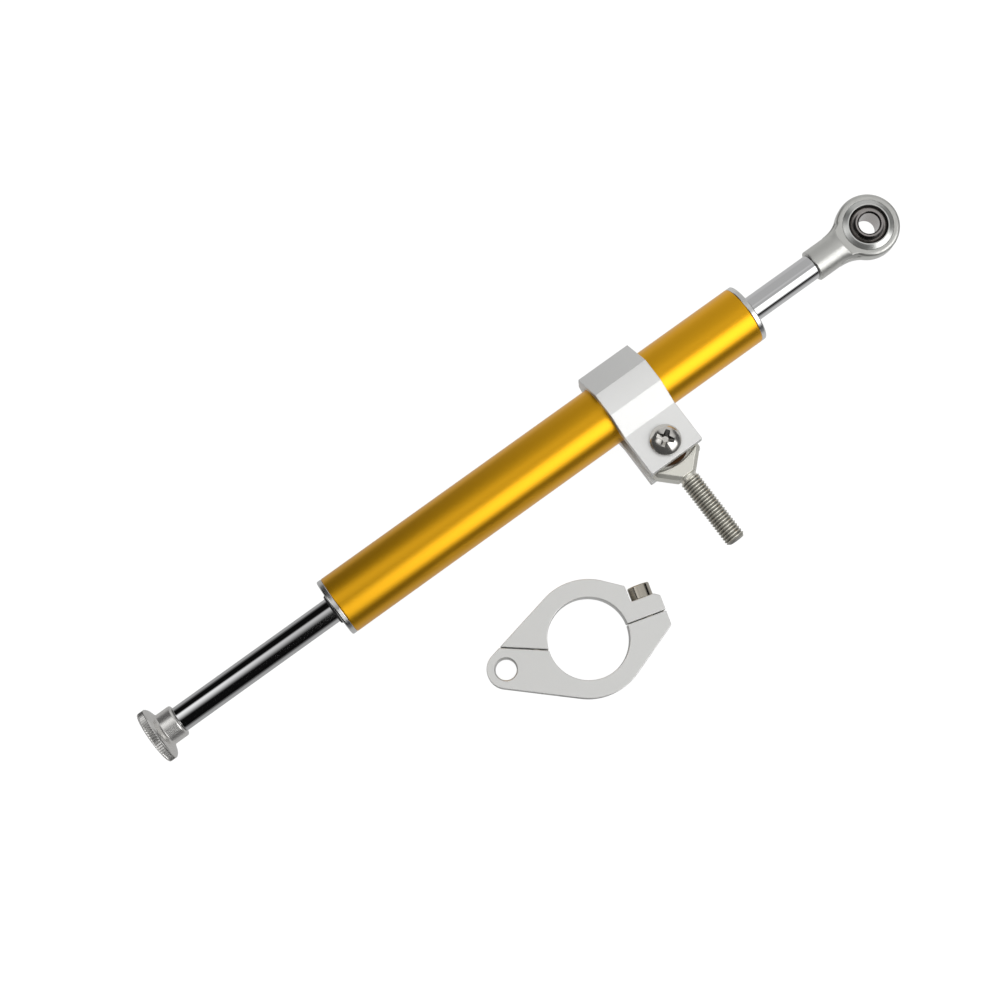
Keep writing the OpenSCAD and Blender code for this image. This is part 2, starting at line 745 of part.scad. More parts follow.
barrel_tube();
left_end_cap();
right_end_cap();
left_rod_bush();
right_rod_bush();
left_rod_seal();
right_rod_seal();
left_wiper();
right_wiper();
left_cap_o_ring();
right_cap_o_ring();
piston_rod();
piston();
piston_ring();
piston_circlips();
rod_end_housing();
rod_end_race();
rod_end_ball();
adjuster_knob();
adjuster_spindle();
spindle_o_ring();
knob_grub_screw();
body_clamp();
clamp_screw();
clamp_nut();
upper_pivot_bush();
lower_pivot_bush();
eye_bolt();
fork_upper_jaw();
fork_lower_jaw();
fork_clamp_bolts();
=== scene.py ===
import math

import bmesh
import bpy
from mathutils import Matrix, Vector


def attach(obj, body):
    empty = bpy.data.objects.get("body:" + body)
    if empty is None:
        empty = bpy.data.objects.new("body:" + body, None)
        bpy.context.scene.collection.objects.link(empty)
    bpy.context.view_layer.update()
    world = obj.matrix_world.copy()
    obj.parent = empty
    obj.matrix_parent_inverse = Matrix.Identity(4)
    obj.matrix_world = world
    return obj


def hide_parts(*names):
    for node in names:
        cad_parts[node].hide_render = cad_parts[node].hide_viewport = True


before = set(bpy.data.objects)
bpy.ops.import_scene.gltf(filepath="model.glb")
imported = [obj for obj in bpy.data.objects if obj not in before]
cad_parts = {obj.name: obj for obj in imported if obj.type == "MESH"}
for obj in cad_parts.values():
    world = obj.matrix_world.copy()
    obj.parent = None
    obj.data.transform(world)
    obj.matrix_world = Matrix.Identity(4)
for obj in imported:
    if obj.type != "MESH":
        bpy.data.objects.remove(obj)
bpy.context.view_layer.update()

# Barrel tube: a drawn aluminium tube, fine etched and anodised gold.
# The two end caps screw into its ends, and the body clamp grips it.
MM = 0.001
TUBE_R = 11.85
TUBE_BORE_R = 9.5
TUBE_FROM = -246.1
TUBE_TO = -58.6
TUBE_EDGE = 0.35
ROUND_STEPS = 4
EDGE_GUARD = 0.05
FINE_TURN = 192
# The share of a metal's colour left where a groove is marked: painted shade in the grooves.
PAINTED_GROOVE_SHADE = 0.28
RELIEF_HEIGHT = 0.02
FILM_ROUGHNESS = 0.3
PATCHES = 45
SMOOTH_BELOW = math.radians(35)
ALONG_X = Matrix()


def rounded(corners, guard=EDGE_GUARD):
    """A closed outline from (along, across, round) corners, with an arc at each rounded one.

    A guard point beside each end of an arc keeps the long faces there true in their shading.
    """
    outline = []
    for i, (along, across, radius) in enumerate(corners):
        here = Vector((along, across))
        if radius == 0:
            outline.append(here)
            continue
        back = (Vector(corners[i - 1][:2]) - here).normalized()
        ahead = (Vector(corners[(i + 1) % len(corners)][:2]) - here).normalized()
        half = back.angle(ahead) / 2
        reach = radius / math.tan(half)
        centre = here + (back + ahead).normalized() * radius / math.sin(half)
        start = here + back * reach - centre
        end = here + ahead * reach - centre
        turns = [step / ROUND_STEPS for step in range(ROUND_STEPS + 1)]
        bend = [centre + radius * start.slerp(end, turn) for turn in turns]
        if guard:
            bend = [here + back * (reach + guard)] + bend + [here + ahead * (reach + guard)]
        outline += bend
    return outline


def turned(outline, place=ALONG_X, segments=FINE_TURN):
    """A closed outline of (along, radius) points turned about X and then put in its place."""
    body = bmesh.new()
    rings = []
    for step in range(segments):
        turn = Matrix.Rotation(2 * math.pi * step / segments, 3, "X")
        spots = [place @ (turn @ Vector((along, radius, 0))) for along, radius in outline]
        rings.append([body.verts.new(spot * MM) for spot in spots])
    count = len(outline)
    for ring, following in zip(rings, rings[1:] + rings[:1]):
        for j in range(count):
            k = (j + 1) % count
            body.faces.new((ring[j], ring[k], following[k], following[j]))
    bmesh.ops.remove_doubles(body, verts=body.verts, dist=1e-7)
    bmesh.ops.recalc_face_normals(body, faces=body.faces)
    return body


def shaded(mesh, limit=SMOOTH_BELOW):
    """Smooth faces, with the edges that are sharper than the limit left sharp."""
    mesh.polygons.foreach_set("use_smooth", [True] * len(mesh.polygons))
    mesh.set_sharp_from_angle(angle=limit)
    return mesh


def solid(name, body):
    """A new object in the scene from a bmesh."""
    mesh = bpy.data.meshes.new(name)
    body.to_mesh(mesh)
    body.free()
    made = bpy.data.objects.new(name, shaded(mesh))
    bpy.context.scene.collection.objects.link(made)
    return made


def fitted(piece, material, slot, body, *nodes):
    """Gives a finished piece its material and body, and the solids that it stands for; its slot is not used.
    """
    piece.data.materials.clear()
    piece.data.materials.append(material)
    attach(piece, body)
    if nodes:
        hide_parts(*nodes)
    return piece


def metal(name, colour, roughness, grain, relief, drift=0.06, uneven=0.15, film=0.0, mirror=1.0, painted_shade=""):
    """A metal whose fine grain, in lines per metre along X, Y and Z, shows in its gloss and relief.

    Its gloss varies by the uneven share, and its colour drifts from patch to patch. A film is a thin
    clear coat, a mirror below 1 leaves some matt light in it, and a named attribute darkens its colour
    in grooves as painted shade.
    """
    material = bpy.data.materials.new(name)
    material.use_nodes = True
    nodes, links = material.node_tree.nodes, material.node_tree.links
    shader = nodes["Principled BSDF"]
    shader.inputs["Metallic"].default_value = mirror
    shader.inputs["Coat Weight"].default_value = film
    shader.inputs["Coat Roughness"].default_value = FILM_ROUGHNESS
    place = nodes.new("ShaderNodeTexCoord")
    stretch = nodes.new("ShaderNodeMapping")
    stretch.inputs["Scale"].default_value = grain
    lines = nodes.new("ShaderNodeTexNoise")
    lines.inputs["Scale"].default_value = 1.0
    lines.inputs["Detail"].default_value = 3.0
    cloud = nodes.new("ShaderNodeTexNoise")
    cloud.inputs["Scale"].default_value = PATCHES
    cloud.inputs["Detail"].default_value = 4.0
    tone = nodes.new("ShaderNodeMapRange")
    tone.inputs["To Min"].default_value = 1 - drift
    tone.inputs["To Max"].default_value = 1 + drift
    tint = nodes.new("ShaderNodeMix")
    tint.data_type = "RGBA"
    tint.blend_type = "MULTIPLY"
    tint.inputs["Factor"].default_value = 1.0
    tint.inputs[6].default_value = (*colour, 1)
    gloss = nodes.new("ShaderNodeMapRange")
    gloss.inputs["From Min"].default_value = 0.3
    gloss.inputs["From Max"].default_value = 0.7
    gloss.inputs["To Min"].default_value = roughness * (1 - uneven)
    gloss.inputs["To Max"].default_value = roughness * (1 + uneven)
    bump = nodes.new("ShaderNodeBump")
    bump.inputs["Strength"].default_value = relief
    bump.inputs["Distance"].default_value = RELIEF_HEIGHT * MM
    links.new(place.outputs["Object"], stretch.inputs["Vector"])
    links.new(stretch.outputs["Vector"], lines.inputs["Vector"])
    links.new(place.outputs["Object"], cloud.inputs["Vector"])
    links.new(cloud.outputs["Fac"], tone.inputs["Value"])
    links.new(tone.outputs["Result"], tint.inputs[7])
    links.new(tint.outputs[2], shader.inputs["Base Color"])
    # Painted shade: where the attribute marks a groove, the colour is darkened towards a share of itself.
    if painted_shade:
        shade_amount = nodes.new("ShaderNodeAttribute")
        shade_amount.attribute_name = painted_shade
        shade_blend = nodes.new("ShaderNodeMix")
        shade_blend.data_type = "RGBA"
        shade_blend.inputs[7].default_value = (*(PAINTED_GROOVE_SHADE * c for c in colour), 1)
        links.new(shade_amount.outputs["Fac"], shade_blend.inputs["Factor"])
        links.new(tint.outputs[2], shade_blend.inputs[6])
        links.new(shade_blend.outputs[2], shader.inputs["Base Color"])
    links.new(lines.outputs["Fac"], gloss.inputs["Value"])
    links.new(gloss.outputs["Result"], shader.inputs["Roughness"])
    links.new(lines.outputs["Fac"], bump.inputs["Height"])
    links.new(bump.outputs["Normal"], shader.inputs["Normal"])
    return material


gold_anodise = metal(
    "gold_anodise", (0.91, 0.455, 0.008), 0.33, (25, 900, 900), 0.0, drift=0.01, uneven=0.02,
    film=0.2, mirror=0.98
)
tube_outline = rounded([
    (TUBE_FROM, TUBE_BORE_R, 0), (TUBE_FROM, TUBE_R, TUBE_EDGE),
    (TUBE_TO, TUBE_R, TUBE_EDGE), (TUBE_TO, TUBE_BORE_R, 0),
])
gold_tube = solid("gold_tube", turned(tube_outline))
fitted(gold_tube, gold_anodise, "gold_anodised", "barrel", "barrel_tube")

# End caps: turned aluminium plugs, clear anodised, screwed into the tube.
# Only their rims show, each with a small rounded edge and the mouth for the wiper.
CAP_RIM = 2.1
CAP_LEN = 20.1
CAP_MOUTH_R = 7.4
CAP_MOUTH_DEPTH = 3.4
CAP_BUSH_R = 6.05
CAP_SPIGOT_R = 9.48
cap_corners = [
    (0, CAP_MOUTH_R, 0.15), (0, TUBE_R, 0.6), (CAP_RIM, TUBE_R, 0.25), (CAP_RIM, CAP_SPIGOT_R, 0),
    (CAP_LEN, CAP_SPIGOT_R, 0.3), (CAP_LEN, CAP_BUSH_R, 0), (CAP_MOUTH_DEPTH, CAP_BUSH_R, 0),
    (CAP_MOUTH_DEPTH, CAP_MOUTH_R, 0),
]
turned_alloy = metal("turned_alloy", (0.74, 0.74, 0.73), 0.22, (5000, 40, 40), 0.3)
left_seat = Matrix.Translation((TUBE_FROM - CAP_RIM, 0, 0))
right_seat = Matrix.Translation((TUBE_TO + CAP_RIM, 0, 0)) @ Matrix.Rotation(math.pi, 4, "Z")
for side, seat in (("left", left_seat), ("right", right_seat)):
    cap = solid(side + "_cap", turned(rounded(cap_corners), seat))
    fitted(cap, turned_alloy, "cap_alloy", "barrel", side + "_end_cap")


# Guides and seals in the caps: bronze bushes, rubber lip seals, wipers and O-rings.
# They are pressed into the caps' pockets, and only the wipers' lips show.
def rubber(name, colour):
    """Matt moulded rubber with a faint skin."""
    material = bpy.data.materials.new(name)
    material.use_nodes = True
    nodes, links = material.node_tree.nodes, material.node_tree.links
    shader = nodes["Principled BSDF"]
    shader.inputs["Specular IOR Level"].default_value = 0.35
    place = nodes.new("ShaderNodeTexCoord")
    skin = nodes.new("ShaderNodeTexNoise")
    skin.inputs["Scale"].default_value = 2500
    shade = nodes.new("ShaderNodeMix")
    shade.data_type = "RGBA"
    shade.inputs[6].default_value = (*colour, 1)
    shade.inputs[7].default_value = (*(1.6 * c for c in colour), 1)
    gloss = nodes.new("ShaderNodeMapRange")
    gloss.inputs["To Min"].default_value = 0.5
    gloss.inputs["To Max"].default_value = 0.7
    links.new(place.outputs["Object"], skin.inputs["Vector"])
    links.new(skin.outputs["Fac"], shade.inputs["Factor"])
    links.new(shade.outputs[2], shader.inputs["Base Color"])
    links.new(skin.outputs["Fac"], gloss.inputs["Value"])
    links.new(gloss.outputs["Result"], shader.inputs["Roughness"])
    return material


def coated(material, slot, *nodes):
    """Gives solids that keep their own shape a finish."""
    for name in nodes:
        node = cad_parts[name]
        node.data.materials.clear()
        node.data.materials.append(material)


# Bronze with its own colour darkened far below bare bronze as painted shade, for the shadowed gap between
# the ears where the bush flanges show.
bronze_with_painted_shade = metal("bronze_with_painted_shade", (0.06, 0.03, 0.014), 0.34, (2500, 2500, 2500), 0.4, drift=0.15)
seal_rubber = rubber("seal_rubber", (0.015, 0.015, 0.016))
coated(bronze_with_painted_shade, "bronze", "left_rod_bush", "right_rod_bush")
coated(
    seal_rubber, "seal_rubber", "left_rod_seal", "right_rod_seal", "left_wiper", "right_wiper",
    "left_cap_o_ring", "right_cap_o_ring",
)

# Piston rod: ground steel, hard chromed to a mirror, bored for the adjuster's spindle.
# Its left end is a spigot for the knob, and its right end is threaded into the rod end.
ROD_R = 5.0
ROD_FROM = -318.25
ROD_TO = -26.0
SPIGOT_FROM = -325.95
SPIGOT_R = 4.0
ROD_BORE_R = 2.5
ROD_BORE_TO = -156.7
ROD_END_THREAD_TO = -14.0
rod_outline = rounded([
    (SPIGOT_FROM, ROD_BORE_R, 0), (SPIGOT_FROM, SPIGOT_R, 0.3), (ROD_FROM, SPIGOT_R, 0),
    (ROD_FROM, ROD_R, 0.3), (ROD_TO, ROD_R, 0.3), (ROD_TO, SPIGOT_R, 0),
    (ROD_END_THREAD_TO, SPIGOT_R, 0.5), (ROD_END_THREAD_TO, 0, 0), (ROD_BORE_TO, 0, 0),
    (ROD_BORE_TO, ROD_BORE_R, 0),
])
hard_chrome = metal("hard_chrome", (0.66, 0.66, 0.665), 0.05, (4000, 60, 60), 0.02, drift=0.02)
chrome_rod = solid("chrome_rod", turned(rod_outline))
fitted(chrome_rod, hard_chrome, "rod_chrome", "rod", "piston_rod")

# Piston and valve inside the tube: an alloy piston between two circlips, with a filled plastic ring.
# The steel spindle turns in the bored rod and opens its oil ports.
zinc_plate = metal("zinc_plate", (0.61, 0.61, 0.585), 0.38, (1400, 1400, 1400), 0.2, drift=0.04, mirror=0.92)
black_steel = metal("black_steel", (0.10, 0.10, 0.105), 0.4, (2000, 2000, 2000), 0.3)
ring_plastic = rubber("ring_plastic", (0.20, 0.10, 0.04))
coated(turned_alloy, "cap_alloy", "piston")
coated(ring_plastic, "ring_ptfe", "piston_ring")
coated(black_steel, "spring_steel", "piston_circlips", "knob_grub_screw")
coated(zinc_plate, "zinc_steel", "adjuster_spindle")
coated(seal_rubber, "seal_rubber", "spindle_o_ring")

# Rod end: a forged and zinc plated steel eye, screwed on the rod, its neck flared into its head.
# The race is swaged into it with its cone standing proud, and the polished ball turns in it.
ALONG_Z = Matrix.Rotation(-math.pi / 2, 4, "Y")
FORGED_STEP = 0.2
NECK_R = 6.3
HEAD_FLAT = 3.6
STEP_R = 13.0
FLARE_FROM = -20.0
FLARE_TO = -8.0
FLARE_BEND_AT = -16.7
FLARE_BEND_R = 14.0
FLARE_IN = 0.05
FLARE_STEPS = 24
FLARE_SIDES = 72
CUTTER_REACH = 20
RACE_ROOM = 0.2
THREAD_ROOM = 0.05
FORGED_PASSES = 8
RACE_R = 9.68
RACE_SIDE = 3.6
RACE_TOP = 4.6
RACE_FLAT_R = 7.95
RACE_MOUTH_R = 7.5
RACE_BORE_R = 8.0
BALL_R = 7.95
BALL_HALF = 6.0
BALL_BORE_R = 4.0
BALL_CHAMFER = 0.6
ARC_STEPS = 24


def arc(radius, start, end):
    """Points of a meridian of a sphere, from one height to another."""
    low, high = math.asin(start / radius), math.asin(end / radius)
    steps = [low + (high - low) * i / ARC_STEPS for i in range(ARC_STEPS + 1)]
    return [(radius * math.sin(a), radius * math.cos(a), 0) for a in steps]


def copied(name, node):
    """A closed copy of a solid's mesh."""
    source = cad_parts[node].data
    body = bmesh.new()
    spots = [body.verts.new(v.co) for v in source.vertices]
    for face in source.polygons:
        body.faces.new([spots[i] for i in face.vertices])
    bmesh.ops.remove_doubles(body, verts=body.verts, dist=2e-6)
    return solid(name, body)


def settled(piece, limit=SMOOTH_BELOW):
    """Turns a piece with modifiers into a plain mesh."""
    bpy.context.view_layer.update()
    ready = piece.evaluated_get(bpy.context.evaluated_depsgraph_get())
    mesh = bpy.data.meshes.new_from_object(ready)
    piece.modifiers.clear()
    piece.data = shaded(mesh, limit)
    return piece


def worked(piece, tool, operation="DIFFERENCE", limit=SMOOTH_BELOW):
    """Cuts a piece with a tool, or keeps what the two share."""
    step = piece.modifiers.new("step", "BOOLEAN")
    step.object = tool
    step.operation = operation
    step.solver = "EXACT"
    settled(piece, limit)
    bpy.data.objects.remove(tool)
    return piece


def forged(piece, step, passes):
    """Gives a piece an even skin and the soft edges of a forging."""
    skin = piece.modifiers.new("skin", "REMESH")
    skin.mode = "VOXEL"
    skin.voxel_size = step * MM
    soft = piece.modifiers.new("soft", "SMOOTH")
    soft.factor = 0.5
    soft.iterations = passes
    return settled(piece)


def flared_neck():
    """The widening end of the neck, from a round hoop to a wide one that meets the head's edge."""
    flare = bmesh.new()
    hoops = []
    for step in range(FLARE_STEPS + 1):
        along = FLARE_FROM + (FLARE_TO - FLARE_FROM) * step / FLARE_STEPS
        bend = max(along - FLARE_BEND_AT, 0)
        half_width = NECK_R + FLARE_BEND_R - math.sqrt(FLARE_BEND_R ** 2 - bend ** 2) - FLARE_IN
        hoop = []
        for part in range(FLARE_SIDES):
            angle = 2 * math.pi * part / FLARE_SIDES
            spot = (along, half_width * math.cos(angle), (NECK_R - FLARE_IN) * math.sin(angle))
            hoop.append(flare.verts.new(Vector(spot) * MM))
        hoops.append(hoop)
    flare.faces.new(hoops[0])
    flare.faces.new(hoops[-1])
    for hoop, following in zip(hoops, hoops[1:]):
        for part in range(FLARE_SIDES):
            other = (part + 1) % FLARE_SIDES
            flare.faces.new((hoop[part], hoop[other], following[other], following[part]))
    bmesh.ops.recalc_face_normals(flare, faces=flare.faces)
    return solid("neck_flare", flare)


def rod_cutter(start, end, radius):
    """The outline of a round cutter from one place along its axis to another."""
    return [(start, 0), (start, radius), (end, radius), (end, 0)]


race_meet = math.sqrt(RACE_BORE_R ** 2 - RACE_MOUTH_R ** 2)
race_outline = rounded(
    [
        (-RACE_TOP, RACE_MOUTH_R, 0.12), (-RACE_TOP, RACE_FLAT_R, 0.15), (-RACE_SIDE, RACE_R, 0),
        (RACE_SIDE, RACE_R, 0), (RACE_TOP, RACE_FLAT_R, 0.15), (RACE_TOP, RACE_MOUTH_R, 0.12),
    ]
    + arc(RACE_BORE_R, race_meet, -race_meet)
)
ball_outline = rounded(
    arc(BALL_R, -BALL_HALF, BALL_HALF)
    + [
        (BALL_HALF, BALL_BORE_R + BALL_CHAMFER, 0.1), (BALL_HALF - BALL_CHAMFER, BALL_BORE_R, 0.1),
        (BALL_CHAMFER - BALL_HALF, BALL_BORE_R, 0.1), (-BALL_HALF, BALL_BORE_R + BALL_CHAMFER, 0.1),
    ]
)
race_polish = metal("race_polish", (0.66, 0.665, 0.645), 0.3, (40, 40, 5000), 0.08, mirror=0.9)
dark_polish = metal("dark_polish", (0.40, 0.375, 0.365), 0.2, (3000, 3000, 3000), 0.05)
neck_flare = flared_neck()
flare_cutters = (
    (rod_cutter(HEAD_FLAT, CUTTER_REACH, STEP_R), ALONG_Z),
    (rod_cutter(-CUTTER_REACH, -HEAD_FLAT, STEP_R), ALONG_Z),
    (rod_cutter(-CUTTER_REACH, CUTTER_REACH, RACE_R + RACE_ROOM), ALONG_Z),
    (rod_cutter(ROD_TO - 1, ROD_END_THREAD_TO, SPIGOT_R + THREAD_ROOM), ALONG_X),
)
for cutter, place in flare_cutters:
    worked(neck_flare, solid("cutter", turned(cutter, place)))
eye_blank = copied("rod_eye", "rod_end_housing")
worked(eye_blank, neck_flare, "UNION")
eye_housing = forged(eye_blank, FORGED_STEP, FORGED_PASSES)
fitted(eye_housing, zinc_plate, "zinc_steel", "rod", "rod_end_housing")
eye_race = solid("rod_eye_race", turned(race_outline, ALONG_Z))
fitted(eye_race, race_polish, "zinc_steel", "rod", "rod_end_race")
eye_ball = solid("rod_eye_ball", turned(ball_outline, ALONG_Z))
fitted(eye_ball, dark_polish, "ball_steel", "ball", "rod_end_ball")

# Adjuster knob: turned from one bar of aluminium, with a straight knurl rolled round its rim.
# A dog-point grub screw in its collar keeps it on the rod's spigot.
KNOB_FACE = -330.0
KNOB_R = 10.7
KNOB_BAND_TO = -327.0
KNOB_FACE_ROUND = 0.45
KNOB_BAND_ROUND = 0.25
KNOB_BACK_ROUND = 0.8
BAND_FIRST = 0.6
BAND_STEP = 0.2
BAND_COUNT = 11
KNOB_BACK = ((-326.5, 10.3), (-326.1, 9.8), (-325.75, 9.1), (-325.4, 8.1), (-325.0, 7.0))
COLLAR_FROM = -324.5
COLLAR_TO = -318.4
COLLAR_R = 6.5
KNOB_SOCKET_FROM = -326.1
KNOB_SOCKET_R = 4.05
GRUB_AT = -321.55
GRUB_R = 1.52
KNURL_RIDGES = 60
KNURL_DEPTH = 0.4
KNURL_FROM = -329.7
KNURL_TO = -327.0
KNURL_FADE = 0.4
KNURL_ROOT_R = 9.0
STEPS_PER_RIDGE = 6


def node_tree(name, sizes):
    """A new geometry tree with a mesh in and out, and a named input for each size."""
    tree = bpy.data.node_groups.new(name, "GeometryNodeTree")
    tree.interface.new_socket("Mesh", in_out="INPUT", socket_type="NodeSocketGeometry")
    tree.interface.new_socket("Mesh", in_out="OUTPUT", socket_type="NodeSocketGeometry")
    for size, kind in sizes:
        tree.interface.new_socket(size, in_out="INPUT", socket_type=kind)
    return tree, tree.nodes.new("NodeGroupInput"), tree.nodes.new("NodeGroupOutput")


def calc(tree, operation, *values):
    """A math node on numbers or on other nodes' outputs."""
    node = tree.nodes.new("ShaderNodeMath")
    node.operation = operation
    for socket, value in zip(node.inputs, values):
        if isinstance(value, (int, float)):
            socket.default_value = value
        else:
            tree.links.new(value, socket)
    return node.outputs[0]


def rise(tree, value, low, high):
    """0 below low and 1 above high, with a smooth step between them."""
    node = tree.nodes.new("ShaderNodeMapRange")
    node.interpolation_type = "SMOOTHSTEP"
    for name, limit in (("Value", value), ("From Min", low), ("From Max", high)):
        if isinstance(limit, (int, float)):
            node.inputs[name].default_value = limit
        else:
            tree.links.new(limit, node.inputs[name])
    return node.outputs["Result"]


def fall(tree, value, low, high):
    """1 below low and 0 above high."""
    return calc(tree, "SUBTRACT", 1.0, rise(tree, value, low, high))


def product(tree, *values):
    """All the values multiplied together."""
    total = values[0]
    for value in values[1:]:
        total = calc(tree, "MULTIPLY", total, value)
    return total


def within(tree, value, low, high, fade):
    """1 between two limits, with a soft step inside each of them."""
    up = rise(tree, value, low, calc(tree, "ADD", low, fade))
    return product(tree, up, fall(tree, value, calc(tree, "SUBTRACT", high, fade), high))


def place_parts(tree):
    """The X, Y and Z of a mesh's points."""
    spot = tree.nodes.new("ShaderNodeSeparateXYZ")
    tree.links.new(tree.nodes.new("GeometryNodeInputPosition").outputs[0], spot.inputs[0])
    return spot.outputs


def length_of(tree, a, b):
    """The length of two sides at a right angle."""
    return calc(tree, "SQRT", calc(tree, "ADD", calc(tree, "POWER", a, 2), calc(tree, "POWER", b, 2)))


def marked_for_shade(tree, mesh, amount):
    """Marks how deep each point of a mesh lies in its grooves, for the painted shade there."""
    mark = tree.nodes.new("GeometryNodeStoreNamedAttribute")
    mark.inputs["Name"].default_value = "groove"
    tree.links.new(mesh, mark.inputs["Geometry"])
    tree.links.new(amount, mark.inputs["Value"])
    return mark.outputs["Geometry"]


def pressed(tree, mesh, first, first_move, second, second_move, material, out):
    """Closes a tree: moves the points on two axes, makes a plain mesh and sets its material."""
    move = tree.nodes.new("ShaderNodeCombineXYZ")
    tree.links.new(first_move, move.inputs[first])
    tree.links.new(second_move, move.inputs[second])
    shift = tree.nodes.new("GeometryNodeSetPosition")
    plain = tree.nodes.new("GeometryNodeRealizeInstances")
    finish = tree.nodes.new("GeometryNodeSetMaterial")
    tree.links.new(mesh, shift.inputs["Geometry"])
    tree.links.new(move.outputs[0], shift.inputs["Offset"])
    tree.links.new(shift.outputs["Geometry"], plain.inputs["Geometry"])
    tree.links.new(plain.outputs["Geometry"], finish.inputs["Geometry"])
    tree.links.new(material, finish.inputs["Material"])
    tree.links.new(finish.outputs["Geometry"], out.inputs["Mesh"])


def grown(piece, tree, values):
    """Runs a tree on a piece with the given sizes and keeps the plain mesh."""
    growth = piece.modifiers.new(tree.name, "NODES")
    growth.node_group = tree
    for item in tree.interface.items_tree:
        if item.in_out == "INPUT" and item.name in values:
            growth[item.identifier] = values[item.name]
    return settled(piece)


def knurl_tree():
    """Presses straight grooves into the rim of a knob that is turned about X."""
    tree, start, out = node_tree("knurled_rim", [
        ("Ridges", "NodeSocketInt"), ("Depth", "NodeSocketFloat"), ("Band from", "NodeSocketFloat"),
        ("Band to", "NodeSocketFloat"), ("Fade", "NodeSocketFloat"), ("Root radius", "NodeSocketFloat"),
        ("Material", "NodeSocketMaterial"),
    ])
    size = start.outputs
    x, y, z = place_parts(tree)
    turn = calc(tree, "DIVIDE", calc(tree, "ARCTAN2", z, y), 2 * math.pi)
    groove = calc(tree, "PINGPONG", calc(tree, "MULTIPLY", turn, size["Ridges"]), 0.5)
    inside = within(tree, x, size["Band from"], size["Band to"], size["Fade"])
    radius = length_of(tree, y, z)
    rim = rise(tree, radius, size["Root radius"], calc(tree, "ADD", size["Root radius"], size["Fade"]))
    pattern = product(tree, groove, inside, rim)
    depth = product(tree, pattern, -2.0, size["Depth"])
    press = calc(tree, "DIVIDE", depth, radius)
    # The knurl's groove depth is stored on the mesh for painted shade in its grooves.
    pressed(
        tree, marked_for_shade(tree, size["Mesh"], pattern), "Y", product(tree, press, y),
        "Z", product(tree, press, z), size["Material"], out,
    )
    return tree


# The knob's knurl grooves are darkened in colour as painted shade.
knob_alloy = metal(
    "knob_alloy", (0.74, 0.73, 0.71), 0.25, (4500, 50, 50), 0.03, drift=0.01, uneven=0.04, mirror=0.9,
    painted_shade="groove",
)
band_steps = [KNOB_FACE + BAND_FIRST + BAND_STEP * i for i in range(BAND_COUNT)]
knob_outline = rounded(
    [(KNOB_FACE, 0, 0), (KNOB_FACE, KNOB_R, KNOB_FACE_ROUND)]
    + [(x, KNOB_R, 0) for x in band_steps]
    + [(KNOB_BAND_TO, KNOB_R, KNOB_BAND_ROUND)]
    + [(x, radius, KNOB_BACK_ROUND) for x, radius in KNOB_BACK]
    + [
        (COLLAR_FROM, COLLAR_R, 0.3), (COLLAR_TO, COLLAR_R, 0.8), (COLLAR_TO, KNOB_SOCKET_R, 0.2),
        (KNOB_SOCKET_FROM, KNOB_SOCKET_R, 0), (KNOB_SOCKET_FROM, 0, 0),
    ]
)
knob = solid("knurled_knob", turned(knob_outline, segments=KNURL_RIDGES * STEPS_PER_RIDGE))
grown(knob, knurl_tree(), {
    "Ridges": KNURL_RIDGES, "Depth": KNURL_DEPTH * MM, "Band from": KNURL_FROM * MM,
    "Band to": KNURL_TO * MM, "Fade": KNURL_FADE * MM, "Root radius": KNURL_ROOT_R * MM,
    "Material": knob_alloy,
})
grub_seat = Matrix.Translation((GRUB_AT, 0, 0)) @ ALONG_Z
grub_drill = rod_cutter(-10, -1, GRUB_R)
worked(knob, solid("grub_drill", turned(grub_drill, grub_seat, 48)))
fitted(knob, knob_alloy, "knob_alloy", "knob", "adjuster_knob")

# Body clamp: one block of aluminium, milled, slotted and fine blasted, clear anodised.
# Its slot closes on the tube as the pivot screw draws the ears together.
CLAMP_AT = -112.9
CLAMP_HALF = 11.5
BLOCK_HALF = 15.9
FLAT_HALF = 4.8
EAR_ROOT = 13.5
EAR_END = 30.6
EAR_OUT = 10.0
SLOT_HALF = 6.0
CLAMP_BORE_R = 11.9
PIVOT_OUT = 23.2
PIVOT_HOLE_R = 3.25
CLAMP_EDGE = 0.3
CRISP_BELOW = math.radians(9)
CLAMP_TURN = math.radians(-5)
BORE_STEPS = 96


def extruded(outline, start, end, place=ALONG_X):
    """A closed outline of (y, z) points drawn along X and then put in its place."""
    body = bmesh.new()
    near = [body.verts.new(place @ Vector((start, y, z)) * MM) for y, z in outline]
    far = [body.verts.new(place @ Vector((end, y, z)) * MM) for y, z in outline]
    body.faces.new(near)
    body.faces.new(far)
    for i in range(len(outline)):
        j = (i + 1) % len(outline)
        body.faces.new((near[i], near[j], far[j], far[i]))
    bmesh.ops.recalc_face_normals(body, faces=body.faces)
    return body


def edged(piece, width, angle=28):
    """Breaks the sharp edges of a piece."""
    broken = piece.modifiers.new("broken_edges", "BEVEL")
    broken.limit_method = "ANGLE"
    broken.angle_limit = math.radians(angle)
    broken.width = width * MM
    broken.segments = 3
    return settled(piece, CRISP_BELOW)


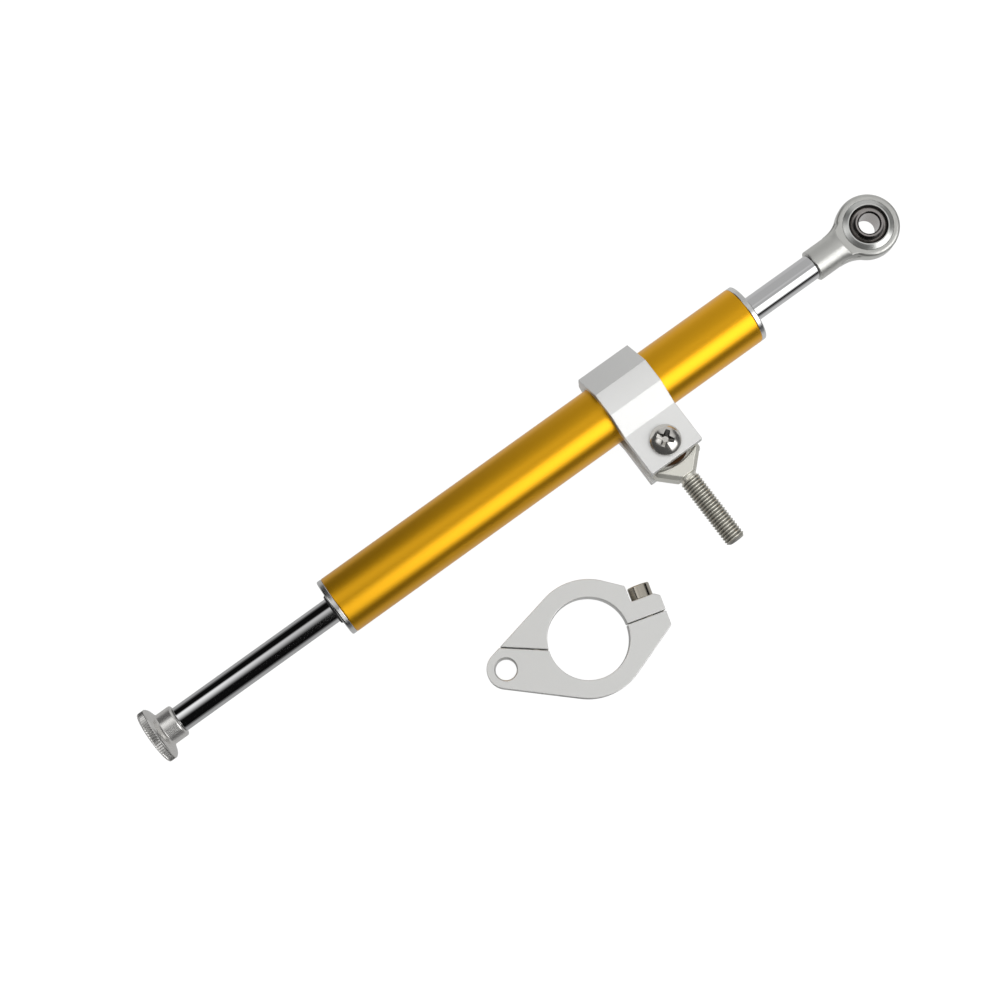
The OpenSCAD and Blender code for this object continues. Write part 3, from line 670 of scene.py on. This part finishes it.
slot_meet = math.asin(SLOT_HALF / CLAMP_BORE_R)
bore_sweep = 2 * (math.pi - slot_meet)
bore_points = []
for step in range(BORE_STEPS + 1):
    angle = math.pi + slot_meet + bore_sweep * step / BORE_STEPS
    bore_points.append((CLAMP_BORE_R * math.cos(angle), CLAMP_BORE_R * math.sin(angle)))
clamp_outline = bore_points + [
    (-EAR_END, SLOT_HALF), (-EAR_END, EAR_OUT), (-EAR_ROOT, EAR_OUT), (-FLAT_HALF, BLOCK_HALF),
    (FLAT_HALF, BLOCK_HALF), (BLOCK_HALF, FLAT_HALF), (BLOCK_HALF, -FLAT_HALF), (FLAT_HALF, -BLOCK_HALF),
    (-FLAT_HALF, -BLOCK_HALF), (-EAR_ROOT, -EAR_OUT), (-EAR_END, -EAR_OUT), (-EAR_END, -SLOT_HALF),
]
satin_alloy = metal(
    "satin_alloy", (0.69, 0.69, 0.68), 0.42, (2600, 2600, 2600), 0.1, drift=0.02, mirror=0.62
)
clamp_place = Matrix.Rotation(CLAMP_TURN, 4, "X")
at_pivot = clamp_place @ Matrix.Translation((CLAMP_AT, -PIVOT_OUT, 0)) @ ALONG_Z
clamp_bar = extruded(clamp_outline, CLAMP_AT - CLAMP_HALF, CLAMP_AT + CLAMP_HALF, clamp_place)
clamp_block = edged(solid("clamp_block", clamp_bar), CLAMP_EDGE)
pivot_drill = rod_cutter(-CUTTER_REACH, CUTTER_REACH, PIVOT_HOLE_R)
worked(clamp_block, solid("pivot_drill", turned(pivot_drill, at_pivot, 64)), limit=CRISP_BELOW)
fitted(clamp_block, satin_alloy, "clamp_alloy", "clamp", "body_clamp")

# Pivot screw and nut: a nickel plated steel screw with a domed head and a cross recess.
# The nut under the lower ear holds it, and two flanged bronze bushes between the ears carry the eye.
SCREW_R = 3.0
HEAD_R = 5.9
HEAD_TOP = 14.4
DOME_FROM = 11.4
NUT_LOW = -15.0
NUT_R = 5.77
NUT_CHAMFER = 0.8
NUT_BORE_R = 3.02
RECESS_TURN = math.radians(36)
RECESS_TOP = (15.0, 5.4, 0.95, 1.3)
RECESS_FLOOR = (11.9, 1.05, 0.55, 0.8)
RECESS_STEEP = 0.7
RECESS_REACH = 4.6
DOME_STEPS = 20


def cross_punch(place):
    """The tapered tool that leaves a cross recess, from (height, arm, half width, heart) rings."""
    body = bmesh.new()
    rings = []
    for height, arm, half, heart in (RECESS_TOP, RECESS_FLOOR):
        ring = []
        for step in range(4):
            turn = place @ Matrix.Rotation(math.pi / 2 * step, 4, "X")
            for y, z in ((arm, -half), (arm, half), (heart, heart)):
                ring.append(body.verts.new(turn @ Vector((height, y, z)) * MM))
        rings.append(ring)
    count = len(rings[0])
    for ring in rings:
        body.faces.new(ring)
    for i in range(count):
        j = (i + 1) % count
        body.faces.new((rings[0][i], rings[0][j], rings[1][j], rings[1][i]))
    bmesh.ops.recalc_face_normals(body, faces=body.faces)
    return body


bright_nickel = metal("bright_nickel", (0.70, 0.68, 0.645), 0.17, (2500, 2500, 2500), 0.05, mirror=0.92)
dome_rise = HEAD_TOP - DOME_FROM
dome_r = (HEAD_R ** 2 + dome_rise ** 2) / (2 * dome_rise)
dome_edge = math.asin(HEAD_R / dome_r)
dome = []
for step in range(1, DOME_STEPS + 1):
    angle = dome_edge * (1 - step / DOME_STEPS)
    dome.append((HEAD_TOP - dome_r + dome_r * math.cos(angle), dome_r * math.sin(angle), 0))
screw_outline = rounded(
    [
        (NUT_LOW, 0, 0), (NUT_LOW, SCREW_R, 0.4), (EAR_OUT, SCREW_R, 0), (EAR_OUT, HEAD_R, 0.25),
        (DOME_FROM, HEAD_R, 0),
    ]
    + dome
)
pivot_screw = solid("pivot_screw", turned(screw_outline, at_pivot, 128))
worked(pivot_screw, solid("cross_punch", cross_punch(at_pivot @ Matrix.Rotation(RECESS_TURN, 4, "X"))))
fitted(pivot_screw, bright_nickel, "screw_nickel", "clamp", "clamp_screw")
recess_shade = metal("recess_shade", (0.08, 0.075, 0.07), 0.4, (2500, 2500, 2500), 0.1)
pivot_screw.data.materials.append(recess_shade)
from_pivot = at_pivot.inverted()
for face in pivot_screw.data.polygons:
    along, *across = from_pivot @ (face.center / MM)
    steep = abs((from_pivot.to_3x3() @ face.normal).x) < RECESS_STEEP
    if steep and along > EAR_OUT and math.hypot(*across) < RECESS_REACH:
        face.material_index = 1
nut_cone = [
    (NUT_LOW, 0), (NUT_LOW, NUT_R - NUT_CHAMFER), (NUT_LOW + 0.5, NUT_R + 0.05),
    (-EAR_OUT - 0.5, NUT_R + 0.05), (-EAR_OUT, NUT_R - NUT_CHAMFER), (-EAR_OUT, 0),
]
nut_drill = rod_cutter(-CUTTER_REACH, -5, NUT_BORE_R)
nut_block = rod_cutter(NUT_LOW, -EAR_OUT, NUT_R)
pivot_nut = solid("pivot_nut", turned(nut_block, at_pivot, 6))
worked(pivot_nut, solid("nut_cone", turned(nut_cone, at_pivot, 96)), "INTERSECT")
worked(pivot_nut, solid("nut_drill", turned(nut_drill, at_pivot, 64)))
fitted(pivot_nut, bright_nickel, "screw_nickel", "clamp", "clamp_nut")
# These bushes' flanges show between the ears, their colour darkened as painted shade.
coated(bronze_with_painted_shade, "bronze", "upper_pivot_bush", "lower_pivot_bush")

# Eye bolt: a zinc plated steel eye with chamfered sides, thinned where it runs between the ears.
# Its shank carries a rolled M8 thread that bolts the damper to a bracket.
PLATE_TO = -38.5
STUD_NECK_R = 3.38
THREAD_FROM = -38.9
STUD_TIP = -67.5
TIP_CHAMFER = 0.8
THREAD_R = 3.97
THREAD_PITCH = 1.25
THREAD_DEPTH = 0.52
THREAD_FADE = 1.0
THREAD_LEAD = 0.2
STUD_SINK = 0.3
SAW_FAR = -80
STEPS_PER_TURN = 12
PLATE_STEP = 0.18
PLATE_PASSES = 5
ALONG_STUD = Matrix.Translation((CLAMP_AT, 0, 0)) @ Matrix.Rotation(-math.pi / 2, 4, "Z")


def thread_tree():
    """Rolls a right-hand thread into a shank that runs along -Y."""
    tree, start, out = node_tree("rolled_thread", [
        ("Axis", "NodeSocketFloat"), ("Pitch", "NodeSocketFloat"), ("Depth", "NodeSocketFloat"),
        ("Tip", "NodeSocketFloat"), ("Root", "NodeSocketFloat"), ("Fade", "NodeSocketFloat"),
        ("Material", "NodeSocketMaterial"),
    ])
    size = start.outputs
    x, y, z = place_parts(tree)
    across = calc(tree, "SUBTRACT", x, size["Axis"])
    turn = calc(tree, "DIVIDE", calc(tree, "ARCTAN2", z, across), 2 * math.pi)
    along = calc(tree, "DIVIDE", calc(tree, "MULTIPLY", y, -1.0), size["Pitch"])
    wave = calc(tree, "PINGPONG", calc(tree, "SUBTRACT", along, turn), 0.5)
    groove = rise(tree, wave, 0.04, 0.46)
    inside = within(tree, y, size["Tip"], size["Root"], size["Fade"])
    depth = product(tree, groove, -1.0, size["Depth"], inside)
    press = calc(tree, "DIVIDE", depth, calc(tree, "MAXIMUM", length_of(tree, across, z), 1e-4))
    # The thread's groove depth is stored on the mesh for painted shade in its grooves.
    pressed(
        tree, marked_for_shade(tree, size["Mesh"], product(tree, groove, inside)), "X", product(tree, press, across),
        "Z", product(tree, press, z), size["Material"], out,
    )
    return tree


stud_plate = copied("eye_plate", "eye_bolt")
stud_plate.data.transform(clamp_place.inverted())
far_side = [
    (SAW_FAR, -CUTTER_REACH), (PLATE_TO, -CUTTER_REACH), (PLATE_TO, CUTTER_REACH), (SAW_FAR, CUTTER_REACH)
]
worked(stud_plate, solid("stud_saw", extruded(far_side, CLAMP_AT - CUTTER_REACH, CLAMP_AT + CUTTER_REACH)))
forged(stud_plate, PLATE_STEP, PLATE_PASSES)
stud_plate.data.transform(clamp_place)
plate_zinc = metal("plate_zinc", (0.70, 0.69, 0.63), 0.4, (1400, 1400, 1400), 0.2, drift=0.04, mirror=0.72)
fitted(stud_plate, plate_zinc, "zinc_steel", "eye_bolt", "eye_bolt")
thread_step = THREAD_PITCH / STEPS_PER_TURN
thread_count = int((THREAD_FROM - STUD_TIP - TIP_CHAMFER) / thread_step)
stud_outline = (
    [(-PLATE_TO - STUD_SINK, 0), (-PLATE_TO - STUD_SINK, STUD_NECK_R), (-THREAD_FROM, STUD_NECK_R)]
    + [(-THREAD_FROM + THREAD_LEAD + thread_step * i, THREAD_R) for i in range(thread_count)]
    + [(-STUD_TIP - TIP_CHAMFER, THREAD_R), (-STUD_TIP, THREAD_R - TIP_CHAMFER), (-STUD_TIP, 0)]
)
# The stud's thread grooves are darkened in colour as painted shade.
thread_zinc = metal(
    "thread_zinc", (0.74, 0.72, 0.64), 0.3, (1400, 1400, 1400), 0.1, mirror=0.8, painted_shade="groove"
)
stud_thread = solid("stud_thread", turned(stud_outline, ALONG_STUD, 96))
grown(stud_thread, thread_tree(), {
    "Axis": CLAMP_AT * MM, "Pitch": THREAD_PITCH * MM, "Depth": THREAD_DEPTH * MM,
    "Tip": (STUD_TIP - THREAD_FADE) * MM, "Root": THREAD_FROM * MM, "Fade": THREAD_FADE * MM,
    "Material": thread_zinc,
})
stud_thread.data.transform(clamp_place)
fitted(stud_thread, thread_zinc, "zinc_steel", "eye_bolt", "eye_bolt")

# Fork clamp: a pear-shaped aluminium ring, split in two jaws and fine blasted.
# Two cap-head bolts draw the jaws together on a fork tube.
FORK_AT = (-177.8, -64.2, -11.258)
FORK_TURN = math.radians(-15.5)
FORK_HALF = 5.0
FORK_EDGE = 0.3
FORK_BORE_R = 15.5
RING_R = 22.4
TAIL_AT = -33.0
TAIL_R = 7.3
TAIL_HOLE_R = 4.0
LUG_END = 30.9
LUG_HALF = 6.0
LUG_ROUND = 1.4
SEAT_FROM = 19.55
SEAT_UP = 7.4
SPLIT_HALF = 0.2
SPLIT_SLOPE = math.tan(math.radians(23.3))
SPLIT_ROOT = 1.2
SPLIT_ROOT_HALF = 0.218
ARC_TURN = math.radians(2.5)
LUG_BOLT = (24.6, 7.4)
TAIL_BOLT = (-19.6, -8.0)
BOLT_R = 2.5
BOLT_HOLE_R = 2.52
BOLT_FREE_R = 2.75
BOLT_HEAD_R = 4.25
BOLT_HEAD_H = 5.2
HEAD_ROOM_R = 4.4
SOCKET_R = 2.34
SOCKET_DEPTH = 2.4
LUG_BOLT_LEN = 14
TAIL_BOLT_LEN = 16
TAIL_BORE_TO = 17
TAIL_FLARE_R = 5.5


def sweep(middle, radius, start, end):
    """Corners along an arc from one angle to another."""
    count = max(2, math.ceil(abs(end - start) / ARC_TURN))
    corners = []
    for i in range(count + 1):
        angle = start + (end - start) * i / count
        corners.append((middle + radius * math.cos(angle), radius * math.sin(angle), 0))
    return corners


def flank_meets(offset):
    """Where a split that is moved up by the offset leaves the upper flank."""
    level = SPLIT_ROOT + offset - SPLIT_SLOPE * FORK_BORE_R
    x = (level - ring_side.y + flank_slope * ring_side.x) / (flank_slope + SPLIT_SLOPE)
    return (x, level - SPLIT_SLOPE * x, 0)


def bore_meets(offset):
    """The angle at which that split meets the bore, on the tail's side."""
    level = SPLIT_ROOT + offset
    return math.pi - math.asin(level / FORK_BORE_R)


flank_turn = math.pi / 2 + math.asin((RING_R - TAIL_R) / -TAIL_AT)
ring_side = RING_R * Vector((math.cos(flank_turn), math.sin(flank_turn)))
flank_slope = -1 / math.tan(flank_turn)
lug_turn = math.acos(RING_R / math.hypot(LUG_END, LUG_HALF)) + math.atan2(LUG_HALF, LUG_END)
lug_slope = -1 / math.tan(lug_turn)
seat_end = LUG_END + (SEAT_UP - LUG_HALF) / lug_slope
seat_top = LUG_HALF + (SEAT_FROM - LUG_END) * lug_slope
split_bore = math.asin(SPLIT_HALF / FORK_BORE_R)
upper_jaw = (
    [(LUG_END, SPLIT_HALF, 0), (LUG_END, LUG_HALF, LUG_ROUND * 0.5), (seat_end, SEAT_UP, 0)]
    + [(SEAT_FROM, SEAT_UP, 0.3), (SEAT_FROM, seat_top, 0.5)]
    + sweep(0, RING_R, lug_turn, flank_turn)
    + [flank_meets(SPLIT_ROOT_HALF)]
    + sweep(0, FORK_BORE_R, bore_meets(SPLIT_ROOT_HALF), split_bore)
)
lower_jaw = (
    [(LUG_END, -SPLIT_HALF, 0), (LUG_END, -LUG_HALF, LUG_ROUND)]
    + sweep(0, RING_R, -lug_turn, -flank_turn)
    + sweep(TAIL_AT, TAIL_R, 2 * math.pi - flank_turn, flank_turn)
    + [flank_meets(-SPLIT_ROOT_HALF)]
    + sweep(0, FORK_BORE_R, bore_meets(-SPLIT_ROOT_HALF), 2 * math.pi - split_bore)
)
on_fork = Matrix.Translation(FORK_AT) @ Matrix.Rotation(FORK_TURN, 4, "Z")
lug_seat = on_fork @ Matrix.Translation((*LUG_BOLT, 0)) @ Matrix.Rotation(-math.pi / 2, 4, "Z")
tail_seat = on_fork @ Matrix.Translation((*TAIL_BOLT, 0)) @ Matrix.Rotation(math.pi / 2, 4, "Z")
tail_eye = on_fork @ Matrix.Translation((TAIL_AT, 0, 0)) @ ALONG_Z
lug_free = rod_cutter(-1, 9, BOLT_FREE_R)
lug_thread = rod_cutter(5, LUG_BOLT_LEN + 1, BOLT_HOLE_R)
tail_thread = rod_cutter(0, TAIL_BORE_TO, BOLT_HOLE_R)
tail_free = rod_cutter(-30, 0, HEAD_ROOM_R)[:3] + rod_cutter(0, TAIL_BORE_TO, BOLT_FREE_R)[1:]
tail_hole = [
    (-6, 0), (-6, TAIL_FLARE_R), (-4.5, TAIL_HOLE_R), (4.5, TAIL_HOLE_R), (6, TAIL_FLARE_R), (6, 0)
]
jaws = (
    ("fork_jaw_upper", "fork_upper_jaw", upper_jaw, ((lug_free, lug_seat), (tail_thread, tail_seat))),
    ("fork_jaw_lower", "fork_lower_jaw", lower_jaw,
     ((lug_thread, lug_seat), (tail_free, tail_seat), (tail_hole, tail_eye))),
)
fork_alloy = metal(
    "fork_alloy", (0.70, 0.70, 0.685), 0.42, (2600, 2600, 2600), 0.1, drift=0.02, mirror=0.78
)
for name, node, corners, drills in jaws:
    flat = [(y, -x) for x, y in rounded(corners, 0)]
    jaw = edged(solid(name, extruded(flat, -FORK_HALF, FORK_HALF, on_fork @ ALONG_Z)), FORK_EDGE)
    for drill, seat in drills:
        worked(jaw, solid("drill", turned(drill, seat, 96)), limit=CRISP_BELOW)
    fitted(jaw, fork_alloy, "clamp_alloy", "fork_clamp", node)
bolt_pair = bmesh.new()
for seat, length in ((lug_seat, LUG_BOLT_LEN), (tail_seat, TAIL_BOLT_LEN)):
    bolt_outline = rounded([
        (-BOLT_HEAD_H, 0, 0), (-BOLT_HEAD_H, BOLT_HEAD_R, 0.5), (0, BOLT_HEAD_R, 0.2), (0, BOLT_R, 0.15),
        (length, BOLT_R, 0.4), (length, 0, 0),
    ])
    bolt = solid("bolt", turned(bolt_outline, seat, 96))
    key_to = SOCKET_DEPTH - BOLT_HEAD_H
    key = rod_cutter(-BOLT_HEAD_H - 1, key_to, SOCKET_R)
    worked(bolt, solid("key", turned(key, seat, 6)))
    bolt_pair.from_mesh(bolt.data)
    bpy.data.objects.remove(bolt)
fork_bolts = solid("fork_bolts", bolt_pair)
bolt_nickel = metal("bolt_nickel", (0.58, 0.54, 0.465), 0.14, (2500, 2500, 2500), 0.03)
fitted(fork_bolts, bolt_nickel, "screw_nickel", "fork_clamp", "fork_clamp_bolts")

# Studio: a lit white table under a wide soft overhead light, with a strip box on the stud's side.
# The camera looks down on the damper from the height of a person at the table.
FLOOR_Z = -16.258
FLOOR_HALF = 3000
CAMERA_AT = (-222.618, -83.224, 697.590)
CAMERA_TURN = (7.6056, 0.6511, -35.8228)
CAMERA_LENS = 67.642
TABLE_GLOW = 0.48
TABLE_END_GLOW = 0.17
FRONT_GLOW = 0.28
FAR_LEFT_GLOW = 0.25
SEEN_GLOW = 0.95
SEEN_MATT = 0.10
OVERHEAD_LEAN = (-31, -13, -14, 41)
OVERHEAD_SLANT = math.radians(24)
OVERHEAD_GLOW = 0.72
OVERHEAD_LEFT_GLOW = 0.56
WALL_LEAN = (-135, -115, 10, 30)
WALL_GLOW = 0.57
STRIP_LEAN = (8, 28, 52, 82)
STRIP_GLOW = 2.5
HORIZON_LEAN = (-135, -115, -92, -80)
HORIZON_GLOW = 0.12
DARK_GLOW = 0.005
LAMP_AT = (-150, -50, 1600)
LAMP_SIZE = 2000
LAMP_POWER = 30
table = bmesh.new()
for x, y in ((-1, -1), (1, -1), (1, 1), (-1, 1)):
    table.verts.new(Vector((x * FLOOR_HALF, y * FLOOR_HALF, FLOOR_Z)) * MM)
table.faces.new(table.verts)
floor = solid("floor", table)
floor_white = bpy.data.materials.new("floor_white")
floor_white.use_nodes = True
paint = floor_white.node_tree
paint.nodes.remove(paint.nodes["Principled BSDF"])
spot = paint.nodes.new("ShaderNodeSeparateXYZ")
paint.links.new(paint.nodes.new("ShaderNodeTexCoord").outputs["Object"], spot.inputs[0])
x, y, z = spot.outputs
brighter_end = calc(paint, "MULTIPLY_ADD", rise(paint, x, -0.30, -0.06), TABLE_END_GLOW, TABLE_GLOW)
front_edge = calc(paint, "MAXIMUM", rise(paint, y, -0.14, -0.03), FRONT_GLOW)
far_left = calc(
    paint, "MULTIPLY_ADD", fall(paint, y, 0.02, 0.19), 1 - FAR_LEFT_GLOW, FAR_LEFT_GLOW
)
far_edge = calc(paint, "MAXIMUM", far_left, rise(paint, x, -0.20, -0.06))
lit = product(paint, front_edge, far_edge)
glow = paint.nodes.new("ShaderNodeEmission")
paint.links.new(product(paint, brighter_end, lit), glow.inputs["Strength"])
white = paint.nodes.new("ShaderNodeEmission")
white.inputs["Strength"].default_value = SEEN_GLOW
matt = paint.nodes.new("ShaderNodeBsdfDiffuse")
matt.inputs["Color"].default_value = (SEEN_MATT, SEEN_MATT, SEEN_MATT, 1)
seen = paint.nodes.new("ShaderNodeAddShader")
paint.links.new(white.outputs["Emission"], seen.inputs[0])
paint.links.new(matt.outputs["BSDF"], seen.inputs[1])
pick = paint.nodes.new("ShaderNodeMixShader")
paint.links.new(paint.nodes.new("ShaderNodeLightPath").outputs["Is Camera Ray"], pick.inputs["Fac"])
paint.links.new(glow.outputs["Emission"], pick.inputs[1])
paint.links.new(seen.outputs["Shader"], pick.inputs[2])
paint.links.new(pick.outputs["Shader"], paint.nodes["Material Output"].inputs["Surface"])
floor.data.materials.append(floor_white)

studio = bpy.data.worlds.new("studio")
bpy.context.scene.world = studio
studio.use_nodes = True
room = studio.node_tree
look = room.nodes.new("ShaderNodeSeparateXYZ")
room.links.new(room.nodes.new("ShaderNodeTexCoord").outputs["Generated"], look.inputs[0])
to_x, to_y, to_z = look.outputs
lean = calc(room, "ARCTAN2", calc(room, "MULTIPLY", to_y, -1), to_z)


def band(angle, rise_from, rise_to, fall_from, fall_to):
    """1 between two soft edges of an angle about X, given in degrees, and 0 outside them."""
    up = rise(room, angle, math.radians(rise_from), math.radians(rise_to))
    return product(room, up, fall(room, angle, math.radians(fall_from), math.radians(fall_to)))


slant = calc(room, "MULTIPLY_ADD", fall(room, to_x, -0.25, 0.05), OVERHEAD_SLANT, lean)
ceiling = calc(room, "MULTIPLY_ADD", fall(room, to_x, -0.14, -0.045), OVERHEAD_LEFT_GLOW, OVERHEAD_GLOW)
ceiling_ends = product(room, rise(room, to_x, -0.78, -0.64), fall(room, to_x, 0.80, 0.92))
overhead = product(room, band(slant, *OVERHEAD_LEAN), ceiling, ceiling_ends)
wall_ends = product(room, rise(room, to_x, -0.02, 0.16), fall(room, to_x, 0.85, 0.97))
wall = product(room, band(lean, *WALL_LEAN), wall_ends, WALL_GLOW)
strip_ends = product(room, rise(room, to_x, -0.032, 0.01), fall(room, to_x, 0.6, 0.8))
strip_box = product(room, band(lean, *STRIP_LEAN), strip_ends, STRIP_GLOW)
horizon = product(room, band(lean, *HORIZON_LEAN), HORIZON_GLOW)
light = DARK_GLOW
for lamp in (overhead, wall, strip_box, horizon):
    light = calc(room, "MAXIMUM", lamp, light)
reflected = room.nodes["Background"]
room.links.new(light, reflected.inputs["Strength"])
reflected.inputs["Color"].default_value = (1, 1, 1, 1)
backdrop = room.nodes.new("ShaderNodeBackground")
backdrop.inputs["Color"].default_value = (1, 1, 1, 1)
choose = room.nodes.new("ShaderNodeMixShader")
room.links.new(room.nodes.new("ShaderNodeLightPath").outputs["Is Camera Ray"], choose.inputs["Fac"])
room.links.new(reflected.outputs["Background"], choose.inputs[1])
room.links.new(backdrop.outputs["Background"], choose.inputs[2])
room.links.new(choose.outputs["Shader"], room.nodes["World Output"].inputs["Surface"])

fill = bpy.data.lights.new("table_light", "AREA")
fill.shape = "SQUARE"
fill.size = LAMP_SIZE * MM
fill.energy = LAMP_POWER
table_light = bpy.data.objects.new("table_light", fill)
table_light.location = Vector(LAMP_AT) * MM
table_light.visible_glossy = False
bpy.context.scene.collection.objects.link(table_light)

camera = bpy.data.objects.new("camera", bpy.data.cameras.new("camera"))
camera.data.sensor_width = 36
camera.data.lens = CAMERA_LENS
camera.data.clip_start = 0.01
camera.location = Vector(CAMERA_AT) * MM
camera.rotation_euler = [math.radians(a) for a in CAMERA_TURN]
bpy.context.scene.collection.objects.link(camera)
bpy.context.scene.camera = camera
bpy.context.scene.view_settings.view_transform = "Standard"
